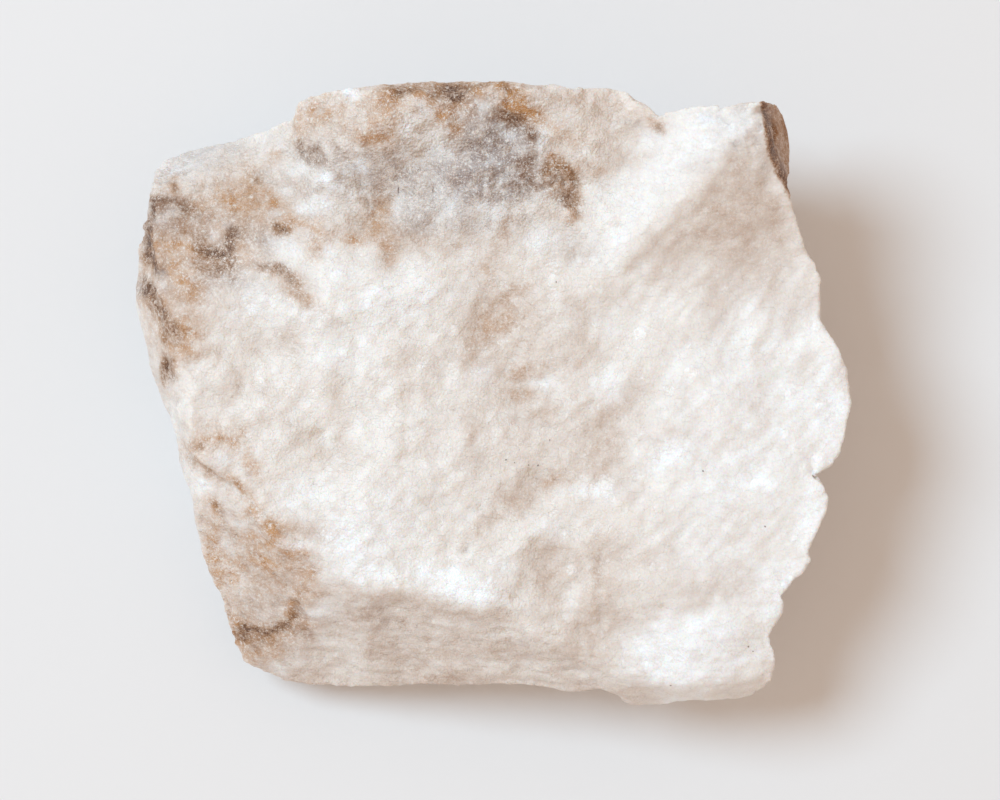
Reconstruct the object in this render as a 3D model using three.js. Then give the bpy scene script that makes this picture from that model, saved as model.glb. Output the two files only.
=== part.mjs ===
// A broken lump of massive anhydrite, 50 mm across, lying on its flattest break.
//
// The stone is one piece. Its top is a broad, gently hollowed break face that rises to a long crest on
// the north and to a sharp peak at the north-east corner. Steep breaks fall from it on the north-west,
// west, south-west and south. The other sides are upright or undercut, and taper to a small resting face.
//
// Millimetres. +X east, +Y north, +Z up. Origin under the middle of the stone, on the surface it lies on.

import * as THREE from "three";
import { ImprovedNoise } from "three/addons/math/ImprovedNoise.js";

// ---------------------------------------------------------------------------
// Driving dimensions

const PLATE_HEIGHT = 14; // the broad face on top
const CREST_HEIGHT = 17.2; // the long crest along the north edge
const PEAK_HEIGHT = 20; // the north-east peak
const REST_SHARE = 0.6; // the resting face, as a share of the foot
const LEAST_SIDE = 1.0; // least height of a side between its upper edge and the waist

const PIXEL = 0.07; // what a pixel of the edge, below, spans at the sighted height: sets length and breadth
const SIGHTED_HEIGHT = 9; // half the height of the stone
const EYE_ABOVE = 291.7; // from the sighted height up to the eye that sees those pixels

const TOP_RINGS = 30; // rings of triangles between the middle of the top and its edge
const EDGE_CLOSENESS = 0.1; // how much closer together those rings are near the edge
const UPPER_ROWS = 4; // rows of triangles between the edge and the waist
const LOWER_ROWS = 4; // rows of triangles between the waist and the foot
const EDGE_STEP = 1.2; // longest step along the edge
const UNDERSIDE_POINTS = [140, 104, 70]; // points in each ring between the foot and the resting face
const REST_POINTS = 40; // points round the resting face
const LEAST_UNDERSIDE = 0.15; // least height of the underside's outermost ring above the resting surface

// ---------------------------------------------------------------------------
// The edge of the stone as it looks from straight above, clockwise from the north-west corner, in pixels to
// the right and down. Each stretch has the height at which it lies, because what is nearer looks larger.

const ORIGIN_PIXEL = { right: 492, down: 395.5 }; // the pixel at which the origin is seen

const EDGE = {
  northWestShoulder: {
    height: 6,
    pixels: [
      [155, 188], [157, 172], [170, 159], [186, 151], [203, 146], [226, 143], [252, 138],
      [276, 133], [286, 127],
    ],
  },
  northCrest: {
    height: 15,
    pixels: [
      [291, 115], [298, 101], [309, 95], [336, 91], [378, 85], [458, 81], [524, 83], [538, 86],
      [552, 85], [572, 90], [590, 88], [608, 88], [626, 91], [638, 99], [650, 108],
    ],
  },
  saddleNotch: {
    height: 13.5,
    pixels: [[661, 121], [666, 114], [680, 112]],
  },
  peak: {
    height: 18,
    pixels: [[688, 107], [702, 105], [720, 106], [738, 105], [750, 102], [764, 103]],
  },
  brownFace: {
    height: 13,
    pixels: [[776, 104], [782, 113], [787, 128], [791, 148], [789, 172], [784, 186]],
  },
  eastEdge: {
    height: 13,
    pixels: [
      [789, 205], [794, 220], [805, 252], [815, 264], [821, 280], [819, 322], [829, 335],
      [840, 352], [846, 368], [851, 402], [847, 420], [846, 436], [841, 452], [833, 464],
      [815, 473], [821, 482], [828, 498], [827, 512], [812, 541], [808, 550], [811, 560],
      [803, 573], [793, 581], [781, 597], [784, 604], [783, 616], [770, 638],
    ],
  },
  southEastLobe: {
    height: 9.5,
    pixels: [
      [772, 650], [774, 668], [771, 680], [764, 689], [752, 697], [738, 702], [697, 700],
      [672, 705], [652, 708], [634, 707], [622, 700], [611, 690], [600, 687],
    ],
  },
  southSlope: {
    height: 6,
    pixels: [
      [584, 690], [566, 689], [546, 685], [500, 683], [460, 685], [424, 682], [400, 687],
      [374, 686], [350, 690], [308, 687], [284, 682], [262, 674],
    ],
  },
  southWestCorner: {
    height: 5,
    pixels: [
      [243, 662], [234, 646], [225, 612], [221, 592], [212, 570], [204, 548], [198, 500],
      [191, 478],
    ],
  },
  westEdge: {
    height: 8,
    pixels: [
      [181, 462], [180, 444], [174, 425], [160, 396], [152, 374], [149, 350], [142, 330],
      [135, 306], [133, 288], [138, 268], [138, 250], [145, 236], [149, 220],
    ],
  },
};

// Where a pixel lies on the stone at that height, to a tenth of a millimetre
const onStone = ([right, down], height) => {
  const span = PIXEL * (1 - (height - SIGHTED_HEIGHT) / EYE_ABOVE);
  const place = [(right - ORIGIN_PIXEL.right) * span, (ORIGIN_PIXEL.down - down) * span];
  return place.map((distance) => Math.round(distance * 10) / 10);
};

// Corners of the waist of the stone, where its sides change slope, clockwise as x, y and height
const WAIST = [
  [-22.6, 14.4, 4.2], [-13.4, 18.2, 6.2], [-8.6, 20.4, 8.4], [1.0, 20.6, 9.6], [8.4, 19.4, 8.2],
  [12.2, 17.6, 8.8], [18.8, 18.8, 9.8], [19.4, 13.0, 7.8], [21.6, 7.2, 9.2], [23.8, 0.4, 8.0],
  [22.0, -5.8, 7.4], [20.6, -11.6, 8.4], [18.4, -17.6, 6.4], [13.6, -20.6, 5.8], [8.0, -19.6, 4.8],
  [-1.6, -19.6, 3.4], [-11.4, -20.0, 2.8], [-17.4, -18.0, 2.8], [-19.4, -11.0, 3.4],
  [-21.0, -4.4, 4.6], [-22.8, 1.4, 5.8], [-24.2, 7.6, 5.8],
];

// Corners of the foot, where the sides meet the underside, in the same order
const FOOT = [
  [-20.4, 12.4, 1.9], [-11.0, 16.0, 2.4], [-3.0, 17.6, 3.8], [6.0, 16.8, 3.0], [14.6, 15.4, 3.8],
  [17.0, 10.0, 2.4], [19.4, 2.0, 3.0], [18.0, -7.0, 2.0], [15.4, -14.6, 2.8], [9.0, -17.6, 1.6],
  [-3.0, -18.2, 1.0], [-14.2, -17.2, 0.9], [-17.6, -9.0, 1.3], [-21.0, 3.2, 1.7],
];

// ---------------------------------------------------------------------------
// The break faces of the top. Each is a plane through a point, falling towards a compass bearing given as
// degrees anticlockwise from east, with its slope as fall over run.

const plane = (x, y, z, towards, slope) => {
  const angle = THREE.MathUtils.degToRad(towards);
  return { x, y, z, across: slope * Math.cos(angle), up: slope * Math.sin(angle) };
};

const FACES = {
  plate: plane(0, 0, PLATE_HEIGHT, -70, 0.02),
  northWestUpper: plane(-14, 10, 13.8, 115, 0.42),
  northWestLower: plane(-18, 15.9, 11, 112, 1.6),
  west: plane(-23.5, 9, 12.4, 175, 3.0),
  westLower: plane(-22.2, 1.8, 12.8, 194, 2.5),
  southWest: plane(-16.9, -8, 13.4, 228, 1.15),
  south: plane(-8, -13.6, 13.5, 257.6, 1.22),
  lobeTop: plane(12, -14, 13.3, -80, 0.42),
  lobeSide: plane(14, -19.8, 11.2, -88, 1.8),
  crestSouth: plane(0, 20.8, CREST_HEIGHT, -90, 0.38),
  crestNorth: plane(0, 20.6, CREST_HEIGHT - 0.1, 90, 1.6),
  crestWest: plane(-9, 18, 16.4, 180, 0.4),
  crestWestEnd: plane(-12.4, 19.5, 15, 190, 1.6),
  crestEast: plane(5.4, 18, 16.6, -5, 0.5),
  peakWest: plane(16.3, 16.8, PEAK_HEIGHT - 1.2, 180.6, 0.58),
  peakSouth: plane(16.3, 16.8, PEAK_HEIGHT - 1.2, -81.6, 0.64),
  brown: plane(18.4, 18.6, PEAK_HEIGHT + 0.2, 12, 3.4),
  brownEnd: plane(19.4, 15, 17.4, 50, 2.2),
};

// Broad swells (rise above 0) and hollows (below 0) of the top: middle, half length, half width, and the
// direction of the length in degrees anticlockwise from east
const SWELLS = [
  { name: "west hollow", x: -16.6, y: 3.8, long: 3.4, wide: 2.2, turn: -50, rise: -0.6 },
  { name: "west swell", x: -9.8, y: 6.6, long: 4.2, wide: 2.4, turn: 10, rise: 0.5 },
  { name: "upright hollow", x: -11.1, y: -2.4, long: 3.6, wide: 1.5, turn: 80, rise: -0.4 },
  { name: "upright swell", x: -7, y: -5.8, long: 5, wide: 2.4, turn: 85, rise: 0.6 },
  { name: "brown trough", x: -8.4, y: 12.0, long: 3.0, wide: 1.3, turn: 60, rise: -0.8 },
  { name: "middle hollow", x: -0.1, y: 5.2, long: 3.4, wide: 1.8, turn: 52, rise: -0.8 },
  { name: "middle swell", x: 6.1, y: 6.6, long: 4.2, wide: 1.8, turn: 50, rise: 0.5 },
  { name: "second hollow", x: 1.9, y: 0.7, long: 2.6, wide: 2.0, turn: 0, rise: -0.6 },
  { name: "slanting hollow", x: 3.1, y: -6.4, long: 4.2, wide: 1.5, turn: 28, rise: -0.9 },
  { name: "east hollow", x: 8.1, y: -3.1, long: 3.2, wide: 1.8, turn: 70, rise: -0.5 },
  { name: "east swell", x: 14.3, y: -1.7, long: 4.4, wide: 3.4, turn: 60, rise: 0.6 },
  { name: "south hollow", x: 4.0, y: -12.2, long: 2.6, wide: 2.0, turn: 70, rise: -0.8 },
  { name: "south brow", x: -0.8, y: -12.9, long: 3.2, wide: 1.4, turn: -5, rise: 0.5 },
  { name: "lobe hollow", x: 8.0, y: -16.2, long: 3.0, wide: 1.4, turn: -25, rise: -0.6 },
  { name: "lobe swell", x: 14.4, y: -17.4, long: 4.0, wide: 2.2, turn: 5, rise: 0.9 },
  { name: "saddle", x: 10.6, y: 17.6, long: 3.0, wide: 1.3, turn: 48, rise: -1.3 },
];

// A low step crosses the east end of the crest: the ground beyond it, towards the saddle, lies lower. It
// fades out southwards at y `south`, and eastwards from x `eastStart` to `eastEnd`.
const STEP = { x: 5.2, y: 16, towards: 10, drop: 0.6, wide: 1.3, south: 11, eastStart: 9, eastEnd: 13 };
const STEP_FADE = 3; // how far it takes to fade out southwards

// ---------------------------------------------------------------------------
// Small functions

const noise = new ImprovedNoise();
const LAYER_SHIFT = 17.3; // keeps the layers of a noise from lining up

// Layers of noise, each half the size and half the height of the one before: about -1 to 1
const roughness = (x, y, z, size, layers) => {
  let total = 0;
  for (let layer = 0; layer < layers; layer += 1) {
    const scale = 2 ** layer / size;
    total += noise.noise(x * scale + layer * LAYER_SHIFT, y * scale, z * scale) / 2 ** layer;
  }
  return total;
};

const planeHeight = (face, x, y) => face.z - face.across * (x - face.x) - face.up * (y - face.y);

// Lesser and greater of two heights, with the corner between them rounded over a height of `round`
const lesser = (a, b, round) => {
  const overlap = Math.max(round - Math.abs(a - b), 0);
  return Math.min(a, b) - (overlap * overlap) / (4 * round);
};
const greater = (a, b, round) => -lesser(-a, -b, round);

const swellHeight = ({ x, y, long, wide, turn, rise }, px, py) => {
  const angle = THREE.MathUtils.degToRad(turn);
  const along = ((px - x) * Math.cos(angle) + (py - y) * Math.sin(angle)) / long;
  const across = ((py - y) * Math.cos(angle) - (px - x) * Math.sin(angle)) / wide;
  return rise * Math.exp(-along * along - across * across);
};

// Distance of a point beyond a line through (x, y) of `line`, along the bearing `line.towards`
const beyond = (line, x, y) => {
  const angle = THREE.MathUtils.degToRad(line.towards);
  return (x - line.x) * Math.cos(angle) + (y - line.y) * Math.sin(angle);
};

const stepDown = (x, y) => {
  const { smoothstep } = THREE.MathUtils;
  const lowered = smoothstep(beyond(STEP, x, y), -STEP.wide / 2, STEP.wide / 2);
  const fromSouth = smoothstep(y, STEP.south, STEP.south + STEP_FADE);
  const fromEast = 1 - smoothstep(x, STEP.eastStart, STEP.eastEnd);
  return STEP.drop * lowered * fromSouth * fromEast;
};

// ---------------------------------------------------------------------------
// Height of the top above the resting surface

const EDGE_ROUND = 0.5; // rounding between two break faces
const GROUND_ROUND = 1.6; // rounding where a rise meets the plate

// The lines between faces stray from straight by WANDER, over lengths of WANDER_SIZE
const WANDER = 0.5;
const WANDER_SIZE = 5;
const WANDER_SLICES = [31, 67]; // the levels of the noise used for x and for y

const LUMP_HEIGHT = 0.4;
const LUMP_SIZE = 4.5;
const LUMP_SLICE = 5;

// Ribs that the break left across the top: coarse and fine, each with its length, width and height
const RIBS = [
  { long: 5, wide: 2.1, rise: 0.24 },
  { long: 3, wide: 1.2, rise: 0.12 },
];
const WEST_COMBING = -52; // direction of the ribs on the west side, degrees anticlockwise from east
const EAST_COMBING = 44; // their direction in the middle and on the east side
const COMBING_TURNS = { start: -10, end: -5 }; // the ribs change direction between these values of x

const ribs = (x, y, turn) => {
  const angle = THREE.MathUtils.degToRad(turn);
  const along = x * Math.cos(angle) + y * Math.sin(angle);
  const across = y * Math.cos(angle) - x * Math.sin(angle);
  return RIBS.reduce(
    (sum, { long, wide, rise }) => sum + rise * noise.noise(along / long, across / wide, turn),
    0,
  );
};

const combed = (x, y) => {
  const east = THREE.MathUtils.smoothstep(x, COMBING_TURNS.start, COMBING_TURNS.end);
  return THREE.MathUtils.lerp(ribs(x, y, WEST_COMBING), ribs(x, y, EAST_COMBING), east);
};

const topHeight = (x, y) => {
  const [sx, sy] = WANDER_SLICES.map((slice, i) => {
    const stray = WANDER * roughness(x, y, slice, WANDER_SIZE, 2);
    return [x, y][i] + stray;
  });
  const at = (name) => planeHeight(FACES[name], sx, sy);
  const least = (names) => names.map(at).reduce((a, b) => lesser(a, b, EDGE_ROUND));

  const body = least(["plate", "northWestUpper", "northWestLower", "west", "westLower"]);
  const crest = least(["crestSouth", "crestNorth", "crestWest", "crestWestEnd", "crestEast"]);
  const peak = least(["peakWest", "peakSouth"]);
  const raised = greater(greater(body, crest - stepDown(sx, sy), GROUND_ROUND), peak, GROUND_ROUND);
  const brown = Math.max(at("brown"), at("brownEnd"));
  const cut = [...["southWest", "south", "lobeTop", "lobeSide"].map(at), brown].reduce(
    (a, b) => lesser(a, b, EDGE_ROUND),
    raised,
  );
  const swell = SWELLS.reduce((sum, each) => sum + swellHeight(each, x, y), 0);
  return cut + swell + combed(x, y) + LUMP_HEIGHT * roughness(x, y, LUMP_SLICE, LUMP_SIZE, 3);
};

// ---------------------------------------------------------------------------
// Outlines

const corners = Object.values(EDGE).flatMap(({ height, pixels }) =>
  pixels.map((pixel) => onStone(pixel, height)),
);

// The edge with long sides divided, so that no step is longer than EDGE_STEP
const edge = corners.flatMap(([x, y], i) => {
  const [nextX, nextY] = corners[(i + 1) % corners.length];
  const steps = Math.ceil(Math.hypot(nextX - x, nextY - y) / EDGE_STEP);
  return Array.from({ length: steps }, (_, step) => {
    const share = step / steps;
    return new THREE.Vector2(x + share * (nextX - x), y + share * (nextY - y));
  });
});

// Where a ray from the middle crosses a closed outline of points round it: the point, with any third
// coordinate shared in proportion
const crossing = (outline, direction) => {
  const side = (p) => direction.x * p.y - direction.y * p.x;
  for (let i = 0; i < outline.length; i += 1) {
    const a = outline[i];
    const b = outline[(i + 1) % outline.length];
    if (side(a) >= 0 && side(b) < 0) {
      return a.clone().lerp(b, side(a) / (side(a) - side(b)));
    }
  }
  throw new Error("the outline does not go round the middle");
};

const corner = ([x, y, z]) => new THREE.Vector3(x, y, z);
const waist = WAIST.map(corner);
const foot = FOOT.map(corner);
const ringDirections = (count) =>
  Array.from({ length: count }, (_, i) => {
    const angle = (-2 * Math.PI * i) / count;
    return new THREE.Vector2(Math.cos(angle), Math.sin(angle));
  });

// ---------------------------------------------------------------------------
// Rings of points, from the middle of the top, over the edge, down the sides and in under the stone

const SIDE_ROUGHNESS = 1.5; // how far the sides stray from their break faces
const SIDE_LUMP_SIZE = 5;
const SIDE_HOLLOWING = 0.3; // how much more the sides are hollowed than raised
const SIDE_OVERHANG = 0.15; // how far the edge stands out beyond the rest of the side
const SIDE_CURVE = 1.3; // above 1, a side starts upright below its edge and leans in lower down
const UNDER_ROUGHNESS = 0.6;
const UNDER_LUMP_SIZE = 4;
const UNDER_SLICE = 9;

const topRing = (ring) => {
  const evenShare = ring / TOP_RINGS;
  const share = evenShare + EDGE_CLOSENESS * Math.sin(Math.PI * evenShare);
  return ringDirections(6 * ring).map((direction) => {
    const at = crossing(edge, direction).multiplyScalar(share);
    return new THREE.Vector3(at.x, at.y, topHeight(at.x, at.y));
  });
};

// Moves a point of a side straight out or in, never beyond the edge above it
const roughen = (point, most, amount) => {
  const reach = Math.hypot(point.x, point.y);
  const lumps = roughness(point.x, point.y, point.z, SIDE_LUMP_SIZE, 3);
  const push = SIDE_ROUGHNESS * amount * (lumps - SIDE_HOLLOWING);
  const kept = Math.min(reach + push, most - SIDE_OVERHANG * amount);
  return new THREE.Vector3((point.x * kept) / reach, (point.y * kept) / reach, point.z);
};

const upperRow = (row) => {
  const share = row / UPPER_ROWS;
  return edge.map((at) => {
    const below = crossing(waist, at);
    const z = Math.max(topHeight(at.x, at.y), below.z + LEAST_SIDE);
    const point = new THREE.Vector3(at.x, at.y, z).lerp(below, share);
    const lean = share ** SIDE_CURVE;
    point.x = at.x + lean * (below.x - at.x);
    point.y = at.y + lean * (below.y - at.y);
    return roughen(point, at.length(), share);
  });
};

const lowerRow = (row) => {
  const share = row / LOWER_ROWS;
  return edge.map((at) => {
    const point = crossing(waist, at).lerp(crossing(foot, at), share);
    return roughen(point, at.length(), 1 - share);
  });
};

const undersideRing = (count, index) => {
  const inward = (index + 1) / (UNDERSIDE_POINTS.length + 1);
  const share = THREE.MathUtils.lerp(1, REST_SHARE, inward);
  return ringDirections(count).map((direction) => {
    const at = crossing(foot, direction);
    const lumps = roughness(at.x, at.y, UNDER_SLICE * share, UNDER_LUMP_SIZE, 2);
    const z = Math.max(at.z + UNDER_ROUGHNESS * lumps, LEAST_UNDERSIDE) * (1 - inward);
    return new THREE.Vector3(at.x * share, at.y * share, z);
  });
};

const restRing = ringDirections(REST_POINTS).map((direction) => {
  const at = crossing(foot, direction).multiplyScalar(REST_SHARE);
  return new THREE.Vector3(at.x, at.y, 0);
});

const rings = [
  [new THREE.Vector3(0, 0, topHeight(0, 0))],
  ...Array.from({ length: TOP_RINGS - 1 }, (_, i) => topRing(i + 1)),
  ...Array.from({ length: UPPER_ROWS }, (_, row) => upperRow(row)),
  ...Array.from({ length: LOWER_ROWS + 1 }, (_, row) => lowerRow(row)),
  ...UNDERSIDE_POINTS.map(undersideRing),
  restRing,
  [new THREE.Vector3(0, 0, 0)],
];

// ---------------------------------------------------------------------------
// The surface: a band of triangles between each ring and the next

// Turn of a point round the middle, clockwise from east, as a share of a full turn
const turnOf = (point) => (1 - Math.atan2(point.y, point.x) / (2 * Math.PI)) % 1;

// A ring turned so that it starts at its first point clockwise from east
const fromEast = (ring) => {
  const turns = ring.map(turnOf);
  const start = turns.indexOf(Math.min(...turns));
  return [...ring.slice(start), ...ring.slice(0, start)];
};

const vertices = [];
const triangles = [];

const addRing = (ring) => {
  const first = vertices.length;
  vertices.push(...ring);
  return { first, count: ring.length, turns: ring.map(turnOf) };
};

// Walks round both rings together, always advancing on the one that is behind
const joinRings = (inner, outer) => {
  const innerSteps = inner.count === 1 ? 0 : inner.count;
  const outerSteps = outer.count === 1 ? 0 : outer.count;
  const indexOf = (ring, step) => ring.first + (step % ring.count);
  const turnAt = (ring, step) => (step < ring.count ? ring.turns[step] : 1 + ring.turns[0]);
  let i = 0;
  let o = 0;
  while (i < innerSteps || o < outerSteps) {
    const innerNext = i < innerSteps ? turnAt(inner, i + 1) : Infinity;
    const outerNext = o < outerSteps ? turnAt(outer, o + 1) : Infinity;
    if (outerNext <= innerNext) {
      triangles.push(indexOf(inner, i), indexOf(outer, o + 1), indexOf(outer, o));
      o += 1;
    } else {
      triangles.push(indexOf(inner, i), indexOf(inner, i + 1), indexOf(outer, o));
      i += 1;
    }
  }
};

const placed = rings.map((ring) => addRing(ring.length === 1 ? ring : fromEast(ring)));
placed.slice(1).forEach((ring, i) => joinRings(placed[i], ring));

const geometry = new THREE.BufferGeometry().setFromPoints(vertices).setIndex(triangles);
geometry.computeBoundingBox();
const middle = geometry.boundingBox.getCenter(new THREE.Vector3());
geometry.translate(-middle.x, -middle.y, 0);
geometry.computeVertexNormals();

// ---------------------------------------------------------------------------
// The part

const anhydrite = new THREE.MeshStandardMaterial({ color: "#e9e2da", roughness: 0.7, metalness: 0 });
const stone = new THREE.Mesh(geometry, anhydrite);
stone.name = "anhydrite_stone";

const part = new THREE.Group();
part.add(stone);

export default part;
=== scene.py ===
import math

import bmesh
import bpy
import numpy as np
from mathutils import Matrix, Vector, noise


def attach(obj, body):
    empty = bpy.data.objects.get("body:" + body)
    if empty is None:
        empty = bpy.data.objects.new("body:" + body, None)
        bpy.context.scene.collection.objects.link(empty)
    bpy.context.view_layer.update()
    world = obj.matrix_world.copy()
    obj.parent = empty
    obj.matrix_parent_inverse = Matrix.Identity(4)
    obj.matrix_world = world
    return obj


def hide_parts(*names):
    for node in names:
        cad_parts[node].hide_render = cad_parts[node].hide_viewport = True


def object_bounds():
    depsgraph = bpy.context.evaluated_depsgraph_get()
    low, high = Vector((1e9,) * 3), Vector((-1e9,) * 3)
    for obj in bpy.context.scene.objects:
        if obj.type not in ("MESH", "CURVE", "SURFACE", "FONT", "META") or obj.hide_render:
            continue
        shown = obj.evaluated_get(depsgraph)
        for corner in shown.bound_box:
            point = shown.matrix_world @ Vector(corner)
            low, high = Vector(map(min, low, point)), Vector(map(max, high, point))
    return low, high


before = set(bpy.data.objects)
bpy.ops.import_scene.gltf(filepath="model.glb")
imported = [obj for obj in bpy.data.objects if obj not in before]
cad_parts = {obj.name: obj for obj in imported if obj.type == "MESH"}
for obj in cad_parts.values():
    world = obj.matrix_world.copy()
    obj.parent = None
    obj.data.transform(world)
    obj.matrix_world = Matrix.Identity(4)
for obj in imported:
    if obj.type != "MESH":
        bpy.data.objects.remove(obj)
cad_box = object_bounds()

# ---------------------------------------------------------------------------
# The stone
#
# A broken lump of massive anhydrite: tightly grown white grains like sugar, a little translucent. Iron has
# stained it beige, ochre and umber along the north and west edges, and blows have bruised it chalky white.
# Over the south-east lobe the same chalky white is painted light.

MM = 0.001
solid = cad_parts["anhydrite_stone"]

# The camera's picture, by whose pixels the marks on the top are placed. It looks straight down.
PICTURE = (1000, 800)  # pixels
PIXEL = 0.07  # mm that a pixel spans at half the stone's height
HALF_HEIGHT = 9.0  # mm
AIM = (0.76, -0.215)  # mm east and north
LENS = 150  # mm
SENSOR = 36  # mm
CAMERA_ABOVE = PICTURE[0] * PIXEL * LENS / SENSOR  # mm above half the stone's height

# Its shape: the solid's break faces, divided finely enough to hold chips half a millimetre across
RESTING_PART = 1.0 * MM  # the underside below this height stays coarse
LONGEST_EDGE = 0.42 * MM  # longer edges are divided once more
form = bmesh.new()
form.from_mesh(solid.data)
bmesh.ops.remove_doubles(form, verts=form.verts, dist=0.001 * MM)
bmesh.ops.subdivide_edges(form, edges=form.edges, cuts=1)
for longest in (0.0, LONGEST_EDGE):
    exposed = [edge for edge in form.edges if max(v.co.z for v in edge.verts) > RESTING_PART]
    exposed = [edge for edge in exposed if edge.calc_length() > longest]
    bmesh.ops.subdivide_edges(form, edges=exposed, cuts=1)
    bmesh.ops.triangulate(form, faces=form.faces)
stone_mesh = bpy.data.meshes.new("anhydrite_stone_surface")
form.to_mesh(stone_mesh)
form.free()


def numbers(collection, field, width, kind):
    """That field of every item of the collection, as rows of an array."""
    values = np.empty(len(collection) * width, kind)
    collection.foreach_get(field, values)
    return values.reshape(-1, width)


points = numbers(stone_mesh.vertices, "co", 3, np.float64) / MM
edges = numbers(stone_mesh.edges, "vertices", 2, np.int64)
faces = numbers(stone_mesh.polygons, "vertices", 3, np.int64)


def gathered(at, values):
    """Sum of the rows of values that belong to each point."""
    return np.stack([np.bincount(at, column, len(points)) for column in values.T], axis=1)


def relaxed(places, rounds):
    """Rounds off flats and corners without shrinking the form."""
    first, second = edges.T
    links = np.bincount(edges.ravel(), minlength=len(places))[:, None]
    for step in (0.5, -0.52) * rounds:
        around = gathered(first, places[second]) + gathered(second, places[first])
        places = places + step * (around / links - places)
    return places


def outward(places):
    """Direction square to the surface at each point."""
    a, b, c = (places[faces[:, corner]] for corner in range(3))
    across = np.cross(b - a, c - a)
    total = sum(gathered(faces[:, corner], across) for corner in range(3))
    return total / np.linalg.norm(total, axis=1, keepdims=True)


def fade(value, start, end):
    """0 before start, 1 after end and smooth between."""
    share = np.clip((value - start) / (end - start), 0, 1)
    return share * share * (3 - 2 * share)


WANDER_SEED = 7  # any number but 0, which would make noise_vector differ from run to run
noise.seed_set(WANDER_SEED)
points = relaxed(points, 8)
normals = outward(points)
places = [Vector(point) for point in points]

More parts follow.
